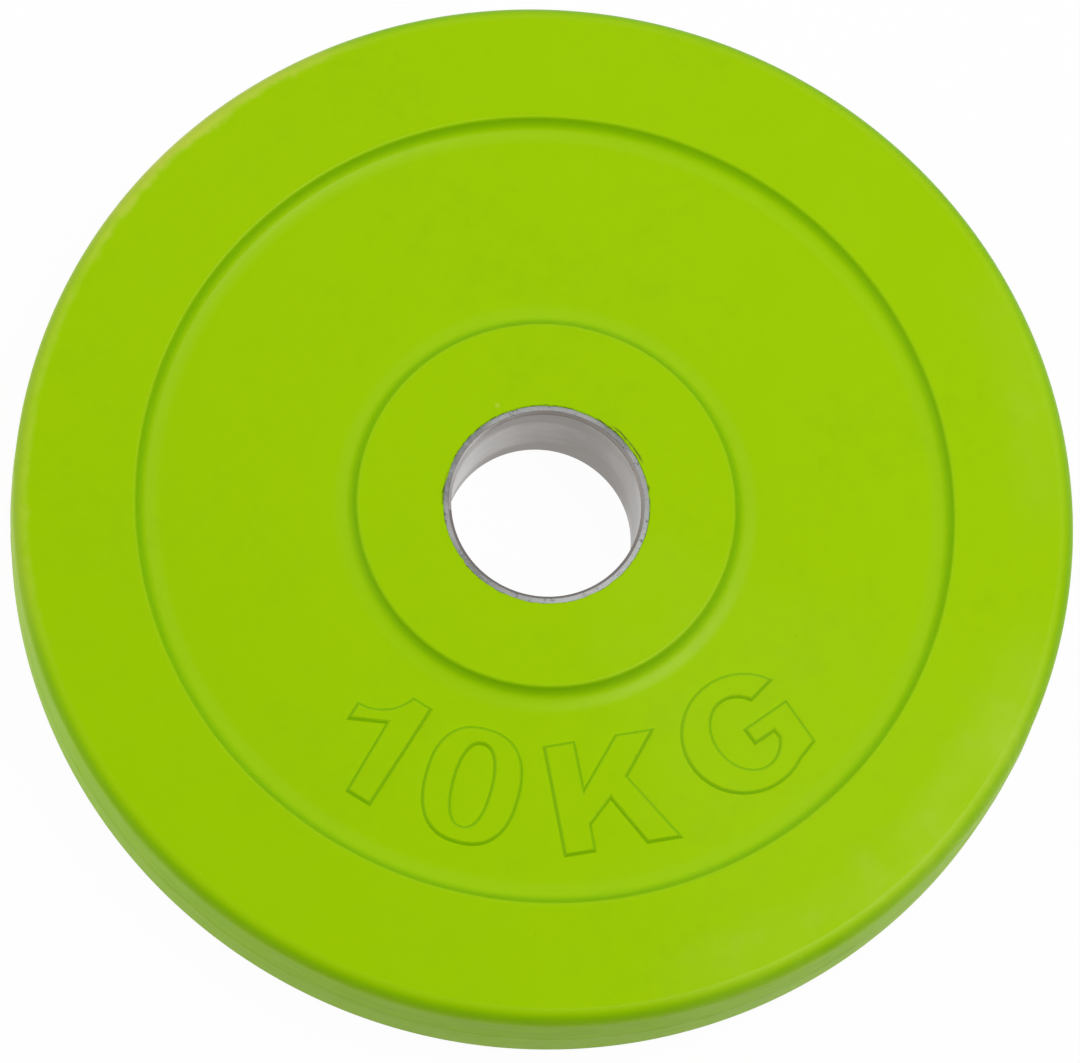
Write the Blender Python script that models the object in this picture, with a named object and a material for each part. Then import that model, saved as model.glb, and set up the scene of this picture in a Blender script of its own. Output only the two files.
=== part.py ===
# Rubber coated weight plate for a bar with 50 mm sleeves.
#
# Three pieces: a cast iron core, the rubber moulded round it, and a steel bush in the bore.
# The plate lies on its back: the origin is the middle of the back face, +Z is the bore's axis,
# and the weight mark on the front reads upright for someone standing at -Y.
# Both faces have the same form. All sizes are in metres.

import math

import bmesh
import bpy
from mathutils import Matrix

# Plate
plate_diameter = 0.283        # over the wall, at the parting line
plate_thickness = 0.0335
corner_radius = 0.0043        # rounding between each face and the wall
wall_draft = 0.0004           # how far each half of the wall leans in, away from the parting line
parting_ridge = 0.00025       # how far the trimmed ridge stands out of the wall
parting_ridge_width = 0.0012

# Raised rim, recessed web and raised hub
rim_inner_diameter = 0.2177   # where the lines of the rim's flat and of its step meet
hub_diameter = 0.1007         # the same for the hub
recess_depth = 0.0032         # web below the rim and the hub
step_draft = math.radians(28)  # lean of each step where it is steepest
step_edge = 0.0013            # rounding along the top of each step; a hollow one follows it
run_out_slope = math.radians(12)      # where the hollow rounding goes over into a wider one
run_out = 0.020               # radius of the wider one, which runs out into the web

# Rubber
face_coat = 0.0038            # rubber over the faces of the core
wall_coat = 0.0040            # rubber round the core's edge
rubber_lip = 0.0005           # bevel of the rubber where it meets the bush
fit_gap = 0.0003              # between pieces that touch on the real plate

# Steel bush
bush_bore_diameter = 0.0505   # a 50 mm sleeve slides in it
bush_wall = 0.00225
bush_inset = 0.0003           # its ends lie this far below the faces
bush_chamfer = 0.0009         # lead-in at both ends of the bore
bush_outer_bevel = 0.0003

# Weight mark: plain figures and unit, standing out of the web
mark_height = 0.0312          # of the capitals
mark_relief = 0.0007
mark_draft = 0.0004           # how much each side of a stroke leans in up to its face
mark_foot = 0.0010            # how deep the figures are rooted in the rubber
mark_skirt = 0.0002           # the lean starts this far below the web

# The figures are drawn on a grid whose capitals are this high
grid_height = 31.2
figure_pitches = (25.3, 35.8, 40.8)   # from each figure's middle to the next, on that grid
figure_tilts = (0.9, 0, -0.9, -4.7)   # of each figure about its middle, in degrees

# Facets: multiples of four, so that the plate is as wide as it is long
coat_facets = 84
core_facets = 60
bush_facets = 64
corner_steps = 4
step_steps = 2                # in each of the three roundings of a step
curve_steps = 9               # in each long curve of a figure

plate_radius = plate_diameter / 2
half_thickness = plate_thickness / 2
rim_inner_radius = rim_inner_diameter / 2
hub_radius = hub_diameter / 2
web_height = half_thickness - recess_depth
bush_radius = bush_bore_diameter / 2 + bush_wall


def arc(centre_x, centre_y, radius_x, radius_y, start, end, steps):
    """Points along an elliptical arc, from start to end in degrees."""
    angles = [math.radians(start + (end - start) * i / steps) for i in range(steps + 1)]
    return [(centre_x + radius_x * math.cos(a), centre_y + radius_y * math.sin(a)) for a in angles]


def smooth_oval(centre_x, centre_y, radius_x, radius_y, squareness, steps):
    """Points round an oval. A squareness of 2 is an ellipse, and more is boxier."""
    points = []
    for i in range(steps):
        angle = 2 * math.pi * i / steps
        c, s = math.cos(angle), math.sin(angle)
        x = math.copysign(abs(c) ** (2 / squareness), c)
        y = math.copysign(abs(s) ** (2 / squareness), s)
        points.append((centre_x + radius_x * x, centre_y + radius_y * y))
    return points


def mirrored(half_outline):
    """A profile above the mid plane, continued below it."""
    below = [(radius, -height) for radius, height in reversed(half_outline) if height > 0]
    return half_outline + below


def step_down(radius, outwards):
    """Profile of the step from a raised flat down to the web: an edge, then two hollow roundings.

    The radius is where the lines of the flat and of the step meet. outwards is 1 where the web
    lies outside the flat, and -1 where it lies inside.
    """
    lean, slope = math.degrees(step_draft), math.degrees(run_out_slope)
    fillet_drop = recess_depth - step_edge * (1 - math.sin(step_draft))
    fillet_drop -= run_out * (1 - math.cos(run_out_slope))
    fillet = fillet_drop / (math.cos(run_out_slope) - math.sin(step_draft))
    profile = [(-step_edge * math.tan((math.pi / 2 - step_draft) / 2), half_thickness)]
    for rounding, start, end in ((step_edge, 90, lean), (fillet, 180 + lean, 270 - slope),
                                 (run_out, 270 - slope, 270)):
        run, height = profile[-1]
        centre_run = run - rounding * math.cos(math.radians(start))
        centre_height = height - rounding * math.sin(math.radians(start))
        profile += arc(centre_run, centre_height, rounding, rounding, start, end, step_steps)[1:]
    return [(radius + outwards * run, height) for run, height in profile]


def core_outline():
    """Profile of the iron core. It follows the coat's faces, one coat of rubber below them."""
    face, web = half_thickness - face_coat, web_height - face_coat
    edge = plate_radius - wall_coat
    bevel = corner_radius / 2
    step_start, step_run = -face_coat / 2, face_coat
    upper = [
        (bush_radius + fit_gap, face),
        (hub_radius + step_start, face),
        (hub_radius + step_run, web),
        (rim_inner_radius - step_run, web),
        (rim_inner_radius - step_start, face),
        (edge - bevel, face),
        (edge, face - bevel),
    ]
    return mirrored(upper)


def coat_outline():
    """Profile of the rubber: its outside, then back along the hollow that holds the core."""
    bore = bush_radius + fit_gap
    top_edge = plate_radius - wall_draft
    corner_centre = (top_edge - corner_radius, half_thickness - corner_radius)
    outside = [(bore, half_thickness - rubber_lip), (bore + rubber_lip, half_thickness)]
    outside += step_down(hub_radius, 1)
    outside += reversed(step_down(rim_inner_radius, -1))
    outside += arc(*corner_centre, corner_radius, corner_radius, 90, 0, corner_steps)
    outside += [
        (plate_radius, parting_ridge_width / 2),
        (plate_radius + parting_ridge, parting_ridge_width / 4),
    ]
    hollow = []
    for radius, height in reversed(core_outline()):
        at_wall = radius > rim_inner_radius
        hollow.append((radius + fit_gap * at_wall, height + math.copysign(fit_gap, height)))
    return mirrored(outside) + hollow


def bush_outline():
    """Profile of the steel bush."""
    end = half_thickness - bush_inset
    inner = bush_bore_diameter / 2
    upper = [
        (inner, end - bush_chamfer),
        (inner + bush_chamfer, end),
        (bush_radius - bush_outer_bevel, end),
        (bush_radius, end - bush_outer_bevel),
    ]
    return mirrored(upper)


def material(name, colour, roughness, metallic):
    """A plain Principled material. The colour is in linear light."""
    made = bpy.data.materials.new(name)
    made.use_nodes = True
    shader = made.node_tree.nodes["Principled BSDF"]
    shader.inputs["Base Color"].default_value = (*colour, 1)
    shader.inputs["Roughness"].default_value = roughness
    shader.inputs["Metallic"].default_value = metallic
    made.diffuse_color = (*colour, 1)
    return made


def add_object(name, bm, finish):
    """Turns a bmesh into an object that is shaded smooth, with its sharp edges kept."""
    bmesh.ops.recalc_face_normals(bm, faces=bm.faces)
    mesh = bpy.data.meshes.new(name)
    bm.to_mesh(mesh)
    bm.free()
    mesh.shade_smooth()
    mesh.set_sharp_from_angle(angle=math.radians(30))
    if finish:
        mesh.materials.append(finish)
    made = bpy.data.objects.new(name, mesh)
    bpy.context.scene.collection.objects.link(made)
    return made


def turned(name, outline, facets, finish):
    """A ring turned from a closed outline of (radius, height above the mid plane)."""
    bm = bmesh.new()
    corners = [bm.verts.new((radius, 0, height)) for radius, height in outline]
    edges = [bm.edges.new((a, b)) for a, b in zip(corners, corners[1:] + corners[:1])]
    bmesh.ops.spin(bm, geom=corners + edges, cent=(0, 0, 0), axis=(0, 0, 1),
                   angle=2 * math.pi, steps=facets, use_merge=True)
    ring = add_object(name, bm, finish)
    ring.location.z = half_thickness
    return ring


def figure_outlines():
    """The outlines of each figure, from left to right.

    On the grid, y runs up from the baseline and x from the middle of each figure. A figure's
    second outline is a hole.
    """
    one = [(5.1, 0.4), (5.1, 31.6)]
    one += arc(-12.4, 34.8, 12.13, 12.13, -15.3, -90, 3)
    one += [(-12.4, 17.1), (-3.0, 21.8), (-2.3, 0.4)]
    nought = smooth_oval(0, 15.9, 12.7, 16.1, 2.4, 2 * curve_steps)
    nought_hole = smooth_oval(0, 16.0, 4.9, 11.4, 2.3, 2 * curve_steps)
    kay = [(-14.2, 0.3), (-5.7, 0.3), (-5.7, 7.7), (0.7, 13.7), (8.0, 0.3), (17.6, 0.3), (6.2, 19.0),
           (15.7, 30.7), (5.2, 30.7), (-5.7, 17.5), (-5.7, 30.7), (-14.2, 30.7)]
    gee = arc(-0.5, 14.7, 16.9, 16.4, 27, 300, curve_steps)
    gee += [(13.8, 2.2), (14.2, 15.6), (0.1, 15.6), (0.1, 10.5), (6.4, 10.5)]
    gee += arc(-0.2, 14.5, 8.3, 10.4, 324, 36, curve_steps)
    return [[one], [nought, nought_hole], [kay], [gee]]


def figure_block(bm, outlines):
    """Adds one figure to bm as a closed block, rooted below z = 0 and narrowing up to its face."""
    grid = mark_height / grid_height
    corners, edges = [], []
    for outline in outlines:
        loop = [bm.verts.new((x * grid, y * grid, -mark_foot)) for x, y in outline]
        edges += [bm.edges.new((a, b)) for a, b in zip(loop, loop[1:] + loop[:1])]
        corners += loop
    if len(outlines) == 2:
        floor = bmesh.ops.bridge_loops(bm, edges=edges)["faces"]
    else:
        floor = [bm.faces.new(corners)]
    risen = bmesh.ops.extrude_face_region(bm, geom=floor)["geom"]
    lid = [part for part in risen if isinstance(part, bmesh.types.BMFace)]
    lid_corners = [part for part in risen if isinstance(part, bmesh.types.BMVert)]
    bmesh.ops.translate(bm, verts=lid_corners, vec=(0, 0, mark_foot - mark_skirt))
    bmesh.ops.recalc_face_normals(bm, faces=bm.faces)
    bmesh.ops.inset_region(bm, faces=lid, thickness=mark_draft, depth=mark_skirt + mark_relief,
                           use_even_offset=True)


def weight_mark():
    """The figures of both faces as one guide object, to be joined to the rubber."""
    bm = bmesh.new()
    middle = (hub_radius + rim_inner_radius) / 2
    pitch_turn = mark_height / grid_height / middle
    front, back = Matrix.Identity(4), Matrix.Rotation(math.pi, 4, "X")
    for face in (front, back):
        turn = -sum(figure_pitches) / 2 * pitch_turn
        for outlines, tilt, pitch in zip(figure_outlines(), figure_tilts, (*figure_pitches, 0)):
            before = set(bm.verts)
            figure_block(bm, outlines)
            place = face @ Matrix.Rotation(turn, 4, "Z") @ Matrix.Translation((0, -middle, web_height))
            place @= Matrix.Rotation(math.radians(tilt), 4, "Z")
            place @= Matrix.Translation((0, -mark_height / 2, 0))
            bmesh.ops.transform(bm, matrix=place, verts=[v for v in bm.verts if v not in before])
            turn += pitch * pitch_turn
    guide = add_object("weight_mark_guide", bm, None)
    guide.location.z = half_thickness
    guide.hide_render = True
    guide.display_type = "WIRE"
    return guide


def clear_scene():
    for old in list(bpy.data.objects):
        bpy.data.objects.remove(old)


def main():
    clear_scene()
    rubber = material("green_rubber", (0.33, 0.58, 0.003), 0.5, 0)
    iron = material("cast_iron", (0.09, 0.09, 0.10), 0.7, 1)
    steel = material("bush_steel", (0.52, 0.50, 0.48), 0.35, 1)
    coat = turned("rubber_coat", coat_outline(), coat_facets, rubber)
    join = coat.modifiers.new("weight_mark", "BOOLEAN")
    join.operation = "UNION"
    join.object = weight_mark()
    turned("cast_iron_core", core_outline(), core_facets, iron)
    turned("steel_bush", bush_outline(), bush_facets, steel)


main()
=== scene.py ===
import math

import bmesh
import bpy
from mathutils import Matrix, Vector, noise


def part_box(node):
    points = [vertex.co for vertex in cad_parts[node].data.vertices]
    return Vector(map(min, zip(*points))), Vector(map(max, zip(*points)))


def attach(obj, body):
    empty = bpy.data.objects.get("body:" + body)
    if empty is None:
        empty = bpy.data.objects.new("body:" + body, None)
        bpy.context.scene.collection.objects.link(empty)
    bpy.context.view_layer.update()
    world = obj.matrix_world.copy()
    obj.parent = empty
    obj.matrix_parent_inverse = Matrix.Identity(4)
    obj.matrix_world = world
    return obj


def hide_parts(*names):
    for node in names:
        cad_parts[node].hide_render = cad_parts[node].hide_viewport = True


# The looks of a rubber coated weight plate lying on its back. Sizes are in metres.
# +Z is the bore's axis, and the weight mark reads upright for someone standing at -Y.

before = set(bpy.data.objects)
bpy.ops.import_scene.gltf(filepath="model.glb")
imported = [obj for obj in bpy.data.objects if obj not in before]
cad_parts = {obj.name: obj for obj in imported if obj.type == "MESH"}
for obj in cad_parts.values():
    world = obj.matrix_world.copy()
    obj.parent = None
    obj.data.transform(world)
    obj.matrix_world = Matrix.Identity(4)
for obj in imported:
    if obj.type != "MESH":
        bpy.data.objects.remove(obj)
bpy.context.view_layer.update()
coatLow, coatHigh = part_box("rubber_coat")
bushLow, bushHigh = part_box("steel_bush")
middleHeight = (coatLow.z + coatHigh.z) / 2
halfThickness = (coatHigh.z - coatLow.z) / 2
bushEnd = (bushHigh.z - bushLow.z) / 2        # of the bush, above the mid plane
bushRadius = bushHigh.x
print("frame loaded: plate", round(coatHigh.x * 2000, 1), "mm across")


# Profiles and rings


def arcPoints(centreX, centreY, radiusX, radiusY, start, end, steps):
    angles = [math.radians(start + (end - start) * i / steps) for i in range(steps + 1)]
    return [(centreX + radiusX * math.cos(a), centreY + radiusY * math.sin(a)) for a in angles]


def ovalPoints(centreX, centreY, radiusX, radiusY, squareness, steps):
    points = []
    for i in range(steps):
        c, s = math.cos(2 * math.pi * i / steps), math.sin(2 * math.pi * i / steps)
        x = math.copysign(abs(c) ** (2 / squareness), c)      # above 2, boxier than an ellipse
        y = math.copysign(abs(s) ** (2 / squareness), s)
        points.append((centreX + radiusX * x, centreY + radiusY * y))
    return points


def roundedLine(corners, stepAngle=10, hold=0.0004, longFlat=0.006):
    # corners are (radius, height, rounding); a long flat keeps its shading by a ring beside the arc
    points = [Vector(corners[0][:2])]
    for before, here, after in zip(corners, corners[1:], corners[2:]):
        corner = Vector(here[:2])
        back, on = Vector(before[:2]) - corner, Vector(after[:2]) - corner
        if not here[2]:
            points.append(corner)
            continue
        turn = math.pi - back.angle(on)
        reach = here[2] * math.tan(turn / 2)
        inwards = (back.normalized() + on.normalized()).normalized()
        centre = corner + inwards * here[2] / math.cos(turn / 2)
        if back.length > longFlat:
            points.append(corner + back.normalized() * (reach + hold))
        steps = max(3, round(math.degrees(turn) / stepAngle))
        spoke = corner + back.normalized() * reach - centre
        side = 1 if back.cross(on) < 0 else -1
        points += [centre + Matrix.Rotation(side * turn * i / steps, 2) @ spoke
                   for i in range(steps + 1)]
        if on.length > longFlat:
            points.append(corner + on.normalized() * (reach + hold))
    return points + [Vector(corners[-1][:2])]


def bothFaces(upper):
    return upper + [Vector((p.x, -p.y)) for p in reversed(upper) if p.y > 0]


def smoothShade(mesh, sharpAngle=20):
    mesh.shade_smooth()
    mesh.set_sharp_from_angle(angle=math.radians(sharpAngle))


def newPiece(name, bm, finish):
    bmesh.ops.recalc_face_normals(bm, faces=bm.faces)
    mesh = bpy.data.meshes.new(name)
    bm.to_mesh(mesh)
    bm.free()
    smoothShade(mesh)
    if finish:
        mesh.materials.append(finish)
    piece = bpy.data.objects.new(name, mesh)
    bpy.context.scene.collection.objects.link(piece)
    return piece


def spunRing(outline, facets):
    # a closed outline of (radius, height above the mid plane), turned about the bore's axis
    bm = bmesh.new()
    corners = [bm.verts.new((p.x, 0, p.y + middleHeight)) for p in outline]
    edges = [bm.edges.new(pair) for pair in zip(corners, corners[1:] + corners[:1])]
    bmesh.ops.spin(bm, geom=corners + edges, cent=(0, 0, 0), axis=(0, 0, 1), angle=2 * math.pi,
                   steps=facets, use_merge=True)
    return bm


# Shader maths


class Wire:
    # a shader socket that takes part in Python expressions
    def __init__(self, tree, socket=None):
        self.tree, self.socket = tree, socket

    def node(self, kind, settings=None, sockets=None, out=0):
        made = self.tree.nodes.new(kind)
        for name, value in (settings or {}).items():
            setattr(made, name, value)
        for name, value in (sockets or {}).items():
            if isinstance(value, Wire):
                self.tree.links.new(value.socket, made.inputs[name])
            else:
                made.inputs[name].default_value = value
        return Wire(self.tree, made.outputs[out] if made.outputs else None)

    def math(self, operation, first, second=0.0):
        return self.node("ShaderNodeMath", {"operation": operation}, {0: first, 1: second})

    def __add__(self, other):
        return self.math("ADD", self, other)

    def __sub__(self, other):
        return self.math("SUBTRACT", self, other)

    def __rsub__(self, other):
        return self.math("SUBTRACT", other, self)

    def __mul__(self, other):
        return self.math("MULTIPLY", self, other)

    def __truediv__(self, other):
        return self.math("DIVIDE", self, other)

    def __pow__(self, other):
        return self.math("POWER", self, other)

    __radd__, __rmul__ = __add__, __mul__

    def rise(self, low, high):                # 0 below low, 1 above high, smooth between
        return self.node("ShaderNodeMapRange", {"interpolation_type": "SMOOTHSTEP"},
                         {"Value": self, "From Min": low, "From Max": high})

    def fall(self, low, high):
        return 1 - self.rise(low, high)

    def band(self, low, full, fade, end):     # 1 from full to fade
        return self.rise(low, full) * self.fall(fade, end)

    def away(self, middle):                   # how far it is from the middle, either way
        return self.math("ABSOLUTE", self - middle)

    def noise(self, place, scale, detail=2.0, roughness=0.5):
        return self.node("ShaderNodeTexNoise", {"normalize": True},
                         {"Vector": place, "Scale": scale, "Detail": detail, "Roughness": roughness})

    def mixed(self, share, first, second):    # of wires, or of plain red, green and blue
        first, second = (c if isinstance(c, Wire) else (*c, 1) for c in (first, second))
        return self.node("ShaderNodeMix", {"data_type": "RGBA"},
                         {0: share, 6: first, 7: second}, out=2)

    def stretched(self, x, y, z):
        return self.node("ShaderNodeVectorMath", {"operation": "MULTIPLY"}, {0: self, 1: (x, y, z)})


def newMaterial(name):
    made = bpy.data.materials.new(name)
    made.use_nodes = True
    shader = made.node_tree.nodes["Principled BSDF"]
    return made, shader, Wire(made.node_tree)


def connect(shader, **links):
    for name, wire in links.items():
        shader.id_data.links.new(wire.socket, shader.inputs[name.replace("_", " ")])


def placeOf(wire):
    # the point on the piece, its parts, its distance from the axis and its turn from +X
    place = wire.node("ShaderNodeTexCoord", out=3)
    split = wire.node("ShaderNodeSeparateXYZ", sockets={0: place}).socket.node
    x, y, z = (Wire(wire.tree, output) for output in split.outputs)
    radius = (x * x + y * y) ** 0.5
    turn = wire.math("ARCTAN2", y, x) * (180 / math.pi)
    return place, x, y, z, radius, turn


# Rubber finish

rubberLook = {
    "colour": (0.313, 0.560, 0.0002),
    "deep": (0.253, 0.480, 0.0005),           # darker clouds and specks of the mix
    "mottle": (-0.02, 0.32, 0.30),            # where those clouds start and are full, and their share
    "shadeAndStreak": (0.235, 0.490, 0.0004),         # painted shade down the steps, and the tone of the streaks round the wall
    "shadeSteep": (0.01, 0.28),              # from level, 0, to upright, 1
    "outline": (0.190, 0.430, 0.0004),        # painted shade down the sides of the weight mark
    "markShadeSteep": (0.03, 0.30),
    "roughness": 0.44,
    "specular": 0.24,
    "shine": (0.90, 1.0, 0.05),               # tint of the gloss seen straight on
    "skin": 0.10,                             # a thin smoother skin, by which the steps gleam
    "skinSteep": (0.0004, 0.006, 0.04, 0.10),
    "skinRoughness": 0.27,
    "webRadius": (0.0585, 0.0590, 0.1000, 0.1010),
    "rimRadius": (0.121, 0.131),              # from inside to the outer part of the rim
    "wallRadius": (0.1405, 0.1412),
    "frontHeight": 0.010,                     # above the mid plane, where the front is reached
    "bloomAndSheen": (0.420, 0.640, 0.060),            # pale bloom on the surface, and a painted sheen by turn
    "sheenTurn": (-86, -62, -34, -12),         # where the painted sheen lies, in degrees from +X
    "sheenRimTurn": (-14, 6, 18, 34),          # where only the rim has it
    "bloomAndSheenShares": (0.02, 0.07, 0.36, 0.17),   # all over, sheenTurn, its rim too, sheenRimTurn
    "rubAndGleam": (0.500, 0.610, 0.060),             # yellowed where other plates rubbed, and a painted highlight along that edge
    "rubAndGleamTurn": (104, 118, 130, 150),          # the stretch of the rim's edge that is rubbed and carries the painted highlight
    "rubAndGleamStray": 16,                           # how far its ends wander, in degrees
    "rubAndGleamRadius": (0.1390, 0.1415),
    "rubAndGleamHeight": (0.005, 0.014),              # above the mid plane
    "rubAndGleamShare": 0.68,
    "wearAndSheenWay": (-0.94, 0.34),                 # towards the side of the wall that is worn and painted paler, a painted sheen
    "wearAndSheenReach": (0.80, 0.93),                # 1 is the middle of that side
    "wearAndSheenRadius": (0.1395, 0.1425),
    "wearAndSheenShare": 0.35,
    "nub": (-0.0111, 0.0280),                 # a pale spot beside the bush
    "nubRadius": (0.00035, 0.00091),
    "nubShare": 0.5,
    "speckShare": 0.5,
    "streakShare": 0.50,
    "footHeight": (0.006, 0.016),             # the wall is paler towards the floor
    "footShare": 0.30,
    "dirt": (0.055, 0.075, 0.020),            # in the joint with the bush
    "dirtShare": 0.75,
    "jointWidth": (0.00005, 0.00045),
    "crackTurn": (19, 25, 42, 50),            # a dark crack beside the bush
    "crackRadius": 0.0283,
    "crackWidth": (0.00012, 0.00040),
    "seamWidth": (0.0001, 0.0005),            # of the dirt along the parting line
    "seamShare": 0.22,
}


def rubberFinish():
    look = rubberLook
    made, shader, wire = newMaterial("greenRubber")
    place, x, y, z, radius, turn = placeOf(wire)
    cloud = wire.noise(place, 22, 3)
    blotch = wire.noise(place, 110, 4, 0.6)
    dapple = wire.noise(place, 240, 3)
    grain = wire.noise(place, 900, 3, 0.6)
    upwards = wire.node("ShaderNodeTexCoord", out=1)
    upwards = wire.node("ShaderNodeSeparateXYZ", sockets={0: upwards}, out=2)
    steep = 1 - upwards.away(0)
    onWeb, onRim = radius.band(*look["webRadius"]), radius.rise(*look["rimRadius"])
    onWall = radius.rise(*look["wallRadius"])
    onFront = z.rise(middleHeight, middleHeight + look["frontHeight"])

    mottle = (cloud - 0.5) * 0.6 + (blotch - 0.5) * 0.5 + (dapple - 0.5) * 0.45 + (grain - 0.5) * 0.2
    low, full, share = look["mottle"]
    colour = wire.mixed(mottle.rise(low, full) * share, look["colour"], look["deep"])
    # painted shade: the steeper the rubber, the darker and greener, down the steps
    paintedShade = steep.rise(*look["shadeSteep"]) * (1 - onWall)
    colour = wire.mixed(paintedShade, colour, look["shadeAndStreak"])
    # painted shade down the sides of the weight mark
    colour = wire.mixed(steep.rise(*look["markShadeSteep"]) * onWeb, colour, look["outline"])

    # pale bloom, with a painted sheen placed by turn
    bloomAndSheenPattern = wire.noise(place, 24, 4, 0.65).rise(0.22, 0.62) * (0.5 + 0.5 * blotch.rise(0.45, 0.7))
    allOver, here, hereOnRim, rimAlone = look["bloomAndSheenShares"]
    share = turn.band(*look["sheenTurn"]) * (here + hereOnRim * onRim)
    share = allOver + share + turn.band(*look["sheenRimTurn"]) * onRim * rimAlone
    colour = wire.mixed(bloomAndSheenPattern * share, colour, look["bloomAndSheen"])

    # yellowed by rubbing, and a painted highlight along the rim's edge
    ragged = radius + wire.noise(place, 160, 4, 0.7) * 0.006
    strayed = turn + (blotch - 0.5) * look["rubAndGleamStray"]
    low, high = (middleHeight + height for height in look["rubAndGleamHeight"])
    rubbedAndLit = strayed.band(*look["rubAndGleamTurn"]) * ragged.rise(*look["rubAndGleamRadius"]) * z.rise(low, high)
    # one side of the wall worn, and painted paler as a painted sheen
    wayX, wayY = look["wearAndSheenWay"]
    wornAndLitSide = ((x * wayX + y * wayY) / radius).rise(*look["wearAndSheenReach"])
    wornAndLit = wornAndLitSide * ragged.rise(*look["wearAndSheenRadius"])
    rubbedAndLit = rubbedAndLit * look["rubAndGleamShare"] + wornAndLit * look["wearAndSheenShare"]
    colour = wire.mixed(rubbedAndLit, colour, look["rubAndGleam"])
    nubX, nubY = look["nub"]
    onNub = (((x - nubX) ** 2 + (y - nubY) ** 2) ** 0.5).fall(*look["nubRadius"]) * onFront
    colour = wire.mixed(onNub * look["nubShare"], colour, look["rubAndGleam"])

    speck = wire.node("ShaderNodeTexVoronoi", {"feature": "F1"},
                      {"Vector": place, "Scale": 120, "Randomness": 1.0})
    rare = wire.noise(place, 75, 1).rise(0.60, 0.64) * (1 - onWall)
    colour = wire.mixed(speck.fall(0.03, 0.06) * rare * look["speckShare"], colour, look["deep"])
    streak = wire.noise(place.stretched(0.12, 0.12, 1), 420, 3, 0.6)      # lines round the wall
    streak = streak.rise(0.42, 0.66) * onWall
    colour = wire.mixed(streak * look["streakShare"], colour, look["shadeAndStreak"])
    lowDown = z.fall(*look["footHeight"]) * onWall
    colour = wire.mixed(lowDown * look["footShare"], colour, look["bloomAndSheen"])

    seam = z.away(middleHeight).fall(*look["seamWidth"]) * onWall * blotch.rise(0.36, 0.56)
    colour = wire.mixed(seam * look["seamShare"], colour, look["dirt"])
    wander = (wire.noise(place, 260, 4, 0.7) - 0.5) * 0.0014
    joint = (radius + wander).fall(*(bushRadius + width for width in look["jointWidth"]))
    crack = (radius + wander * 0.7).away(look["crackRadius"]).fall(*look["crackWidth"])
    crack = crack * turn.band(*look["crackTurn"])
    dirt = wire.math("MAXIMUM", joint * blotch.rise(0.54, 0.66), crack * blotch.rise(0.30, 0.45))
    colour = wire.mixed(dirt * look["dirtShare"], colour, look["dirt"])

    rough = look["roughness"] + (blotch - 0.5) * 0.16 - rubbedAndLit * 0.08 + onWall * 0.10
    height = grain * 0.000012 + wire.noise(place, 260, 3) * 0.00003 + cloud * 0.00020
    bump = wire.node("ShaderNodeBump", sockets={"Strength": 0.7, "Distance": 1.0, "Height": height})
    skin = look["skin"] * steep.band(*look["skinSteep"])
    connect(shader, Base_Color=colour, Roughness=rough, Normal=bump, Coat_Weight=skin)
    shader.inputs["Specular IOR Level"].default_value = look["specular"]
    shader.inputs["Specular Tint"].default_value = (*look["shine"], 1)
    shader.inputs["Coat Roughness"].default_value = look["skinRoughness"]
    return made


# Steel finish

steelLook = {
    "colour": (0.66, 0.645, 0.64),
    "roughness": 0.30,
    "lead": (0.0012, 0.0009),                 # of the lead-in, below the end face
    "upperBore": (0.0095, 0.0035),            # of the bore beside it, below the end face
    "lowerBore": (0.010, 0.020),              # above the floor
    "stainAndShade": (0.215, 0.195, 0.178),           # grease and dust down the bore, also the tone of painted shade there
    "stainShare": 0.80,
    "shadeAndStainTurns": (((5, 30), 0.09), ((72, 120), -0.25), ((115, 140), -0.26)),    # added from there on: stains and painted shade, and painted reflection where negative
    "shadeAndStainLow": ((5, 30, 55, 85), 0.13),      # more in the lower bore, between these turns: stain and painted shade
    "shadeAndStainHigh": (50, 90, 0.42),              # more in the upper bore from there on: stain and painted shade
    "cleanAndLitHigh": (5, 20, 0.15),               # and less before there, a painted reflection
    "stainLead": 0.20,
    "dull": (0.21, 0.213, 0.21),              # on the sawn end faces
    "wornAndLit": (0.29, 0.295, 0.29),              # where those are rubbed bright, with painted reflection
    "wornAndLitTurn": (-115, -85, -50, 20),         # in degrees from +X
    "soiledAndShaded": (0.135, 0.138, 0.133),          # and where they are dirty, with painted shade
    "soiledAndShadedTurns": (((112, 130, 172, 180), 1.0), ((-165, -150, -132, -118), 1.0),
                    ((26, 38, 46, 62), 0.8)),
    "pit": (0.065, 0.065, 0.06),
    "pitShare": 0.75,
}


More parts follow.
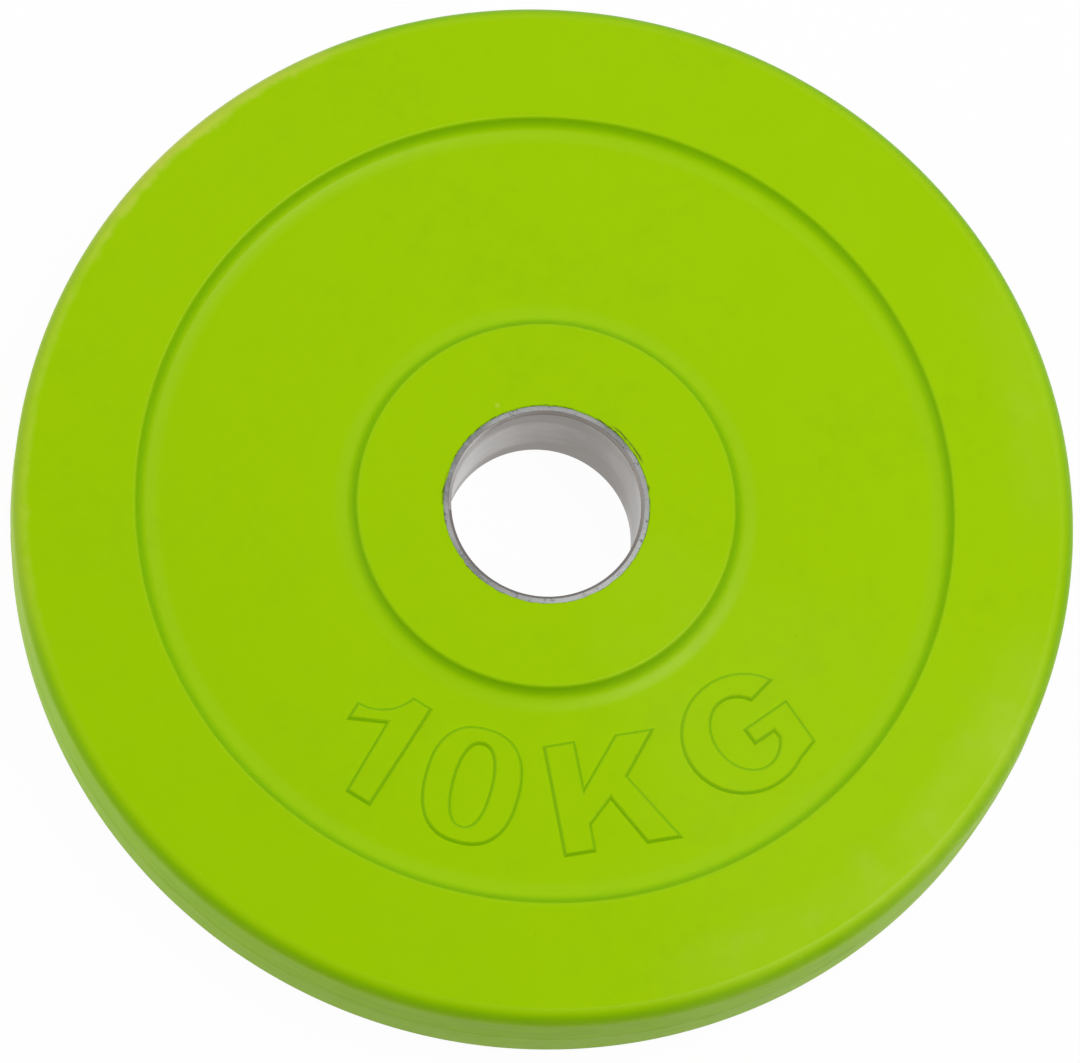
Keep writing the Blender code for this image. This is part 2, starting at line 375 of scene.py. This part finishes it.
def steelFinish():
    look = steelLook
    made, shader, wire = newMaterial("turnedSteel")
    place, x, y, z, radius, turn = placeOf(wire)
    drawn = wire.noise(place.stretched(0.25, 0.25, 14), 320, 3, 0.6)      # lines round the bore
    cloud = wire.noise(place, 60, 3, 0.6)
    fine = wire.noise(place, 1100, 3, 0.7)
    patch = wire.noise(place, 190, 3, 0.6)
    height = z.away(middleHeight)
    onEnd = height.rise(bushEnd - 0.0002, bushEnd - 0.0001)
    onLead = height.rise(*(bushEnd - depth for depth in look["lead"]))
    upperBore = height.rise(*(bushEnd - depth for depth in look["upperBore"])) * (1 - onLead)

    # the shares by turn follow the bore's brightness round: stains, with painted shade and painted
    # reflection
    stainedAndShaded = look["stainShare"] + (cloud - 0.5) * 0.45 + (drawn - 0.5) * 0.45
    for limits, share in look["shadeAndStainTurns"]:
        stainedAndShaded = stainedAndShaded + turn.rise(*limits) * share
    limits, share = look["shadeAndStainLow"]
    stainedAndShaded = stainedAndShaded + z.fall(*look["lowerBore"]) * turn.band(*limits) * share
    (low, high, share), (cleanAndLitLow, cleanAndLitHigh, cleanAndLitShare) = look["shadeAndStainHigh"], look["cleanAndLitHigh"]
    more = turn.rise(low, high) * share - turn.fall(cleanAndLitLow, cleanAndLitHigh) * cleanAndLitShare
    stainedAndShaded = stainedAndShaded + upperBore * more + onLead * look["stainLead"]
    colour = wire.mixed(stainedAndShaded, look["colour"], look["stainAndShade"])

    # end faces by turn: rubbed bright with painted reflection, and dirty with painted shade
    wornAndLit = turn.band(*look["wornAndLitTurn"]) * 0.80 + patch.rise(0.50, 0.66) * 0.25
    endColour = wire.mixed(wornAndLit + (fine - 0.5) * 0.9, look["dull"], look["wornAndLit"])
    soiledAndShaded = sum(turn.band(*limits) * share for limits, share in look["soiledAndShadedTurns"])
    endColour = wire.mixed(soiledAndShaded * fine.rise(0.30, 0.55), endColour, look["soiledAndShaded"])
    pits = (patch * 0.4 + fine * 0.6).fall(0.38, 0.45)
    endColour = wire.mixed(pits * look["pitShare"], endColour, look["pit"])
    colour = wire.mixed(onEnd, colour, endColour)

    rough = look["roughness"] + drawn * 0.14 + onLead * 0.22 + onEnd * 0.05
    bumpHeight = drawn * 0.000010 + fine * 0.00003 * onEnd
    bump = wire.node("ShaderNodeBump", sockets={"Strength": 0.8, "Distance": 1.0, "Height": bumpHeight})
    connect(shader, Base_Color=colour, Roughness=rough, Normal=bump)
    shader.inputs["Metallic"].default_value = 1
    return made


# Iron finish

ironLook = {
    "colour": (0.085, 0.085, 0.095),
    "scale": (0.045, 0.042, 0.042),           # left by the casting
    "roughness": 0.66,
    "sandHeight": 0.0002,
}


def ironFinish():
    look = ironLook
    made, shader, wire = newMaterial("castIron")
    place = wire.node("ShaderNodeTexCoord", out=3)
    sand = wire.noise(place, 700, 4, 0.6)
    scale = wire.noise(place, 45, 4, 0.6)
    colour = wire.mixed(scale.rise(0.4, 0.7), look["colour"], look["scale"])
    rough = look["roughness"] + (sand - 0.5) * 0.3
    height = sand * look["sandHeight"]
    bump = wire.node("ShaderNodeBump", sockets={"Strength": 1.0, "Distance": 1.0, "Height": height})
    connect(shader, Base_Color=colour, Roughness=rough, Normal=bump)
    shader.inputs["Metallic"].default_value = 0.8
    return made


# Weight mark: plain figures, standing out of the web on both faces

mark = {
    "gridHeight": 31.2,                       # the figures' own units
    "height": 0.0312,
    "pitches": (25.3, 35.8, 40.8),            # from each figure's middle to the next, in grid units
    "tilts": (0.9, 0, -0.9, -4.7),            # of each figure about its middle, in degrees
    "grown": 0.25,                            # outwards at the foot, in grid units
    "root": 0.0010,                           # how deep it is rooted in the rubber
    "skirt": 0.00005,                         # where the sides start, below the web
    # the soft side, ring by ring: inwards, up; the last one keeps the top's shading level
    "sides": ((0.00015, 0.00008), (0.00042, 0.00038), (0.00028, 0.00019), (0.00025, 0.00010),
              (0.00008, 0)),
    "curveSteps": 28,
}


def figureOutlines():
    steps = mark["curveSteps"]
    one = [(5.1, 0.4), (5.1, 31.6)]
    one += arcPoints(-12.4, 34.8, 12.13, 12.13, -15.3, -90, steps // 3)
    one += [(-12.4, 17.1), (-3.0, 21.8), (-2.3, 0.4)]
    nought = ovalPoints(0, 15.9, 12.7, 16.1, 2.4, 2 * steps)
    noughtHole = ovalPoints(0, 16.0, 4.9, 11.4, 2.3, 2 * steps)
    kay = [(-14.2, 0.3), (-5.7, 0.3), (-5.7, 7.7), (0.7, 13.7), (8.0, 0.3), (17.6, 0.3), (6.2, 19.0),
           (15.7, 30.7), (5.2, 30.7), (-5.7, 17.5), (-5.7, 30.7), (-14.2, 30.7)]
    gee = arcPoints(-0.5, 14.7, 16.9, 16.4, 27, 300, steps)
    gee += [(13.8, 2.2), (14.2, 15.6), (0.1, 15.6), (0.1, 10.5), (6.4, 10.5)]
    gee += arcPoints(-0.2, 14.5, 8.3, 10.4, 324, 36, steps)
    return [[one], [nought, noughtHole], [kay], [gee]]


def grown(outline, by):
    # the outline moved outwards all along, its corners kept sharp
    points = [Vector(point) for point in outline]
    ring = list(zip(points[-1:] + points[:-1], points, points[1:] + points[:1]))
    turning = 1 if sum(here.cross(after) for before, here, after in ring) > 0 else -1
    moved = []
    for before, here, after in ring:
        come, go = (here - before).normalized(), (after - here).normalized()
        outwards = Vector((come.y + go.y, -come.x - go.x)) / (1 + come.dot(go))
        moved.append(here + outwards * by * turning)
    return moved


def figureBlock(bm, outlines):
    # one figure, from its outline and that of its hole, if it has one
    grid = mark["height"] / mark["gridHeight"]
    corners, edges = [], []
    for outline, by in zip(outlines, (mark["grown"], -mark["grown"])):
        loop = [bm.verts.new((x * grid, y * grid, -mark["root"])) for x, y in grown(outline, by)]
        edges += [bm.edges.new(pair) for pair in zip(loop, loop[1:] + loop[:1])]
        corners += loop
    if len(outlines) == 2:
        floor = bmesh.ops.bridge_loops(bm, edges=edges)["faces"]
    else:
        floor = [bm.faces.new(corners)]
    risen = bmesh.ops.extrude_face_region(bm, geom=floor)["geom"]
    lid = [part for part in risen if isinstance(part, bmesh.types.BMFace)]
    rim = [part for part in risen if isinstance(part, bmesh.types.BMVert)]
    bmesh.ops.translate(bm, verts=rim, vec=(0, 0, mark["root"] - mark["skirt"]))
    bmesh.ops.recalc_face_normals(bm, faces=bm.faces)
    for inwards, up in mark["sides"]:
        bmesh.ops.inset_region(bm, faces=lid, thickness=inwards, depth=up, use_even_offset=True)


def weightMark(webHeight, middleRadius):
    bm = bmesh.new()
    pitchTurn = mark["height"] / mark["gridHeight"] / middleRadius
    front, back = Matrix.Identity(4), Matrix.Rotation(math.pi, 4, "X")
    for face in (front, back):
        turn = -sum(mark["pitches"]) / 2 * pitchTurn
        for outlines, tilt, pitch in zip(figureOutlines(), mark["tilts"], (*mark["pitches"], 0)):
            before = set(bm.verts)
            figureBlock(bm, outlines)
            place = Matrix.Translation((0, 0, middleHeight)) @ face @ Matrix.Rotation(turn, 4, "Z")
            place @= Matrix.Translation((0, -middleRadius, webHeight))
            place @= Matrix.Rotation(math.radians(tilt), 4, "Z")
            place @= Matrix.Translation((0, -mark["height"] / 2, 0))
            bmesh.ops.transform(bm, matrix=place, verts=[v for v in bm.verts if v not in before])
            turn += pitch * pitchTurn
    return newPiece("weightMark", bm, None)


# Rubber coat

coat = {
    "wallRadius": 0.1415,
    "wallDraft": 0.0004,                      # lean of each half of the wall
    "cornerRounding": 0.0043,
    "ridgeWidth": 0.0020,                     # parting line round the wall
    "ridgeHeight": 0.00014,                   # at most: it comes and goes, and so does the flash
    "ridgeFoot": 0.0014,                      # rounding from the wall into it
    "ridgeRounding": 0.0005,
    "ridgeTop": 0.20,                         # share of its width that is level
    "rimInner": 0.10885,                      # where the lines of the flat and the step meet
    "hubRadius": 0.05035,
    "recess": 0.0032,
    "stepLean": math.radians(28),
    "stepRounding": 0.0013,                   # along the top of each step
    "runOutSlope": math.radians(12),          # where the hollow rounding goes over into a wider one
    "runOut": 0.020,
    "stepAngle": 6,                           # between points along a step's roundings, in degrees
    "hold": 0.0004,
    "flash": 0.00030,                         # ragged skin of rubber over the bush's edge, at most
    "flashHeight": 0.00004,                   # over the bush's end face
    "flashWaves": 260,                        # for each metre
    "ridgeWaves": 60,
    "ragged": (0.05, 0.30, 0.85),             # share of the reach: least, mean, swing
    "faceCoat": 0.0038,
    "wallCoat": 0.0040,
    "coreGap": 0.0003,
    "facets": 480,
}


def stepDown(radius, outwards):
    # an edge, then two hollow roundings; radius is where the lines of the flat and the step meet
    c = coat
    lean, slope = c["stepLean"], c["runOutSlope"]
    drop = c["recess"] - c["stepRounding"] * (1 - math.sin(lean)) - c["runOut"] * (1 - math.cos(slope))
    hollow = drop / (math.cos(slope) - math.sin(lean))
    start = Vector((-c["stepRounding"] * math.tan((math.pi / 2 - lean) / 2), halfThickness))
    points = [start]
    for rounding, first, last in ((c["stepRounding"], math.pi / 2, lean),
                                  (hollow, math.pi + lean, 1.5 * math.pi - slope),
                                  (c["runOut"], 1.5 * math.pi - slope, 1.5 * math.pi)):
        centre = points[-1] - rounding * Vector((math.cos(first), math.sin(first)))
        steps = round(abs(math.degrees(last - first)) / c["stepAngle"])
        for i in range(1, steps + 1):
            angle = first + (last - first) * i / steps
            points.append(centre + rounding * Vector((math.cos(angle), math.sin(angle))))
    hold = Vector((c["hold"], 0))             # keeps the shading of the flats beside the step
    points = [start - hold] + points + [points[-1] + hold]
    return [Vector((radius + outwards * p.x, p.y)) for p in points]


def coatOutline():
    c = coat
    face, web = halfThickness, halfThickness - c["recess"]
    wallTop = c["wallRadius"] - c["wallDraft"]
    ridge = c["ridgeWidth"] / 2
    innerFace, innerWeb = face - c["faceCoat"] + c["coreGap"], web - c["faceCoat"] + c["coreGap"]
    innerWall = c["wallRadius"] - c["wallCoat"] + c["coreGap"]
    flash, flashFoot = c["flash"], bushEnd + c["flashHeight"]
    outside = roundedLine([
        (bushRadius, innerFace, 0),
        (bushRadius, flashFoot, 0),
        (bushRadius - flash, flashFoot, 0),
        (bushRadius - flash * 0.9, flashFoot + c["flashHeight"] * 1.5, 0),
        (bushRadius + flash * 0.5, face, 0),
        (bushRadius + flash * 0.5 + c["hold"], face, 0),
    ])
    outside += stepDown(c["hubRadius"], 1) + list(reversed(stepDown(c["rimInner"], -1)))
    outside += roundedLine([
        (c["rimInner"] + c["cornerRounding"], face, 0),
        (wallTop, face, c["cornerRounding"]),
        (c["wallRadius"] - c["wallDraft"] * ridge / face, ridge, c["ridgeFoot"]),
        (c["wallRadius"] + c["ridgeHeight"], ridge * c["ridgeTop"], c["ridgeRounding"]),
        (c["wallRadius"] + c["ridgeHeight"], 0, 0),
    ])
    hollow = roundedLine([
        (bushRadius, innerFace, 0),
        (c["hubRadius"] - c["faceCoat"] / 2, innerFace, 0),
        (c["hubRadius"] + c["faceCoat"], innerWeb, 0),
        (c["rimInner"] - c["faceCoat"], innerWeb, 0),
        (c["rimInner"] + c["faceCoat"] / 2, innerFace, 0),
        (innerWall, innerFace, 0),
        (innerWall, 0, 0),
    ])[1:]
    return bothFaces(outside) + list(reversed(bothFaces(hollow)))


def fused(piece, other):
    join = piece.modifiers.new("join", "BOOLEAN")
    join.operation, join.object = "UNION", other
    evaluated = piece.evaluated_get(bpy.context.evaluated_depsgraph_get())
    whole = bpy.data.meshes.new_from_object(evaluated)
    piece.modifiers.clear()
    piece.data = whole
    bpy.data.objects.remove(other)
    smoothShade(whole)
    return piece


def raggedEdges(bm):
    # varies how far the flash and the ridge stand out, round the plate
    c = coat
    least, mean, swing = c["ragged"]
    for vert in bm.verts:
        radius = vert.co.xy.length
        for base, reach, waves in ((bushRadius, -c["flash"], c["flashWaves"]),
                                   (c["wallRadius"], c["ridgeHeight"], c["ridgeWaves"])):
            if (radius - base) / reach > 0.1:
                spot = vert.co.xy.to_3d() * base / radius * waves
                spot.z = math.copysign(3, vert.co.z - middleHeight) * (reach < 0)    # own for each face
                share = min(1, max(least, mean + swing * noise.fractal(spot, 0.6, 2.0, 4)))
                vert.co.xy *= (base + (radius - base) * share) / radius


def rubberCoat(finish):
    bm = spunRing(coatOutline(), coat["facets"])
    raggedEdges(bm)
    piece = newPiece("rubberCoat", bm, finish)
    middleRadius = (coat["hubRadius"] + coat["rimInner"]) / 2
    fused(piece, weightMark(halfThickness - coat["recess"], middleRadius))
    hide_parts("rubber_coat")
    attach(piece, "root")
    print("rubber coat:", len(piece.data.polygons), "faces")


# Steel bush

bush = {
    "bore": 0.02525,
    "chamfer": 0.0009,
    "rounding": 0.0002,
    "facets": 240,
}


def steelBush(finish):
    b = bush
    upper = roundedLine([
        (b["bore"], 0, 0),
        (b["bore"], bushEnd - b["chamfer"], b["rounding"]),
        (b["bore"] + b["chamfer"], bushEnd, b["rounding"]),
        (bushRadius, bushEnd, b["rounding"]),
        (bushRadius, 0, 0),
    ])
    outline = upper + [Vector((p.x, -p.y)) for p in reversed(upper[1:-1])]
    piece = newPiece("steelBush", spunRing(outline, b["facets"]), finish)
    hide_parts("steel_bush")
    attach(piece, "root")
    print("steel bush:", len(piece.data.polygons), "faces")


# Floor, light and camera

studio = {
    "floorSize": 12,
    "floorColour": (0.82, 0.82, 0.82),
    "whiteShare": 0.97,                       # of the floor's look that is plain white
    "dome": 0.02,                             # the world's light
    "lamps": [                                # turn from +X, height angle, distance, size, power
        ("overhead", -5, 73, 1.6, 0.38, 6.4),
        ("rightFront", -30, 45, 1.6, 1.2, 7.8),
        ("rightSide", 0, 45, 1.6, 1.2, 3.4),
        ("back", 78, 45, 1.0, 1.5, 4.5),
        ("backLeft", 150, 45, 1.6, 1.2, 5.3),
        ("leftLow", 180, 20, 1.6, 1.2, 8.1),
        ("frontLeft", 225, 20, 1.6, 0.8, 1.2),
        ("frontRight", 285, 20, 1.6, 0.8, 0.5),
    ],
}


def whiteForCamera(wire):
    # 1 for the camera, and for what gloss and clear matter show of the studio
    paths = wire.node("ShaderNodeLightPath").socket.node
    seen = Wire(wire.tree, paths.outputs["Is Camera Ray"])
    for name in ("Is Glossy Ray", "Is Transmission Ray"):
        seen = wire.math("MAXIMUM", seen, Wire(wire.tree, paths.outputs[name]))
    return seen


def studioFloor():
    bm = bmesh.new()
    bmesh.ops.create_grid(bm, x_segments=1, y_segments=1, size=studio["floorSize"] / 2)
    made = bpy.data.materials.new("paleFloor")
    made.use_nodes = True
    tree = made.node_tree
    tree.nodes.clear()
    wire = Wire(tree)
    plain = wire.node("ShaderNodeBsdfDiffuse", sockets={"Color": (*studio["floorColour"], 1)})
    white = wire.node("ShaderNodeEmission", sockets={"Color": (1, 1, 1, 1), "Strength": 1.0})
    share = whiteForCamera(wire) * studio["whiteShare"]
    mixed = wire.node("ShaderNodeMixShader", sockets={0: share, 1: plain, 2: white})
    wire.node("ShaderNodeOutputMaterial", sockets={"Surface": mixed})
    floor = newPiece("floor", bm, made)


def studioWorld():
    world = bpy.data.worlds.new("studio")
    bpy.context.scene.world = world
    world.use_nodes = True
    tree = world.node_tree
    tree.nodes.clear()
    wire = Wire(tree)
    level = studio["dome"] + whiteForCamera(wire) * (1 - studio["dome"])
    colour = wire.node("ShaderNodeCombineColor", sockets={0: level, 1: level, 2: level})
    background = wire.node("ShaderNodeBackground", sockets={"Color": colour, "Strength": 1.0})
    wire.node("ShaderNodeOutputWorld", sockets={"Surface": background})


def studioLamps():
    for name, turn, height, distance, size, power in studio["lamps"]:
        lamp = bpy.data.lights.new(name, "AREA")
        lamp.shape, lamp.size, lamp.energy = "SQUARE", size, power
        a, e = math.radians(turn), math.radians(height)
        place = Vector((math.cos(a) * math.cos(e), math.sin(a) * math.cos(e), math.sin(e))) * distance
        hung = bpy.data.objects.new(name, lamp)
        hung.location = place
        hung.rotation_euler = (-place).to_track_quat("-Z", "Y").to_euler()
        bpy.context.scene.collection.objects.link(hung)


view = {
    "azimuth": -18.7,                         # of the camera round the plate, from -Y
    "elevation": 72.465,
    "roll": -15.074,
    "distance": 2.00975,                      # to the bore's upper end
    "focal": 7585.28,                         # in pixels
    "image": (1080, 1063),
    "boreAt": (546.67, 503.90),               # where the picture shows the middle of that end
    "sensor": 36,
}


def camera():
    v = view
    a, e, r = (math.radians(v[name]) for name in ("azimuth", "elevation", "roll"))
    back = Vector((math.sin(a) * math.cos(e), -math.cos(a) * math.cos(e), math.sin(e)))
    level = Vector((math.cos(a), math.sin(a), 0))
    down = level.cross(back)
    right = level * math.cos(r) + down * math.sin(r)
    down = down * math.cos(r) - level * math.sin(r)
    across, below = (at - size / 2 for at, size in zip(v["boreAt"], v["image"]))
    scale = v["distance"] / v["focal"]
    lens = bpy.data.cameras.new("camera")
    lens.sensor_width, lens.lens = v["sensor"], v["focal"] / v["image"][0] * v["sensor"]
    lens.clip_start, lens.clip_end = 0.05, 50
    eye = bpy.data.objects.new("camera", lens)
    turned = Matrix((right, -down, back)).transposed().to_4x4()
    place = Vector((0, 0, coatHigh.z)) + back * v["distance"]
    place -= right * across * scale + down * below * scale
    eye.matrix_world = Matrix.Translation(place) @ turned
    bpy.context.scene.collection.objects.link(eye)
    bpy.context.scene.camera = eye


rubber, steel, iron = rubberFinish(), steelFinish(), ironFinish()
rubberCoat(rubber)
steelBush(steel)
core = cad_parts["cast_iron_core"]       # stays as it is, with a better finish
core.data.materials.clear()
core.data.materials.append(iron)
print("iron core: finish set")
studioFloor()
studioWorld()
studioLamps()
camera()
print("studio set")

bpy.context.scene.view_settings.view_transform = "Standard"
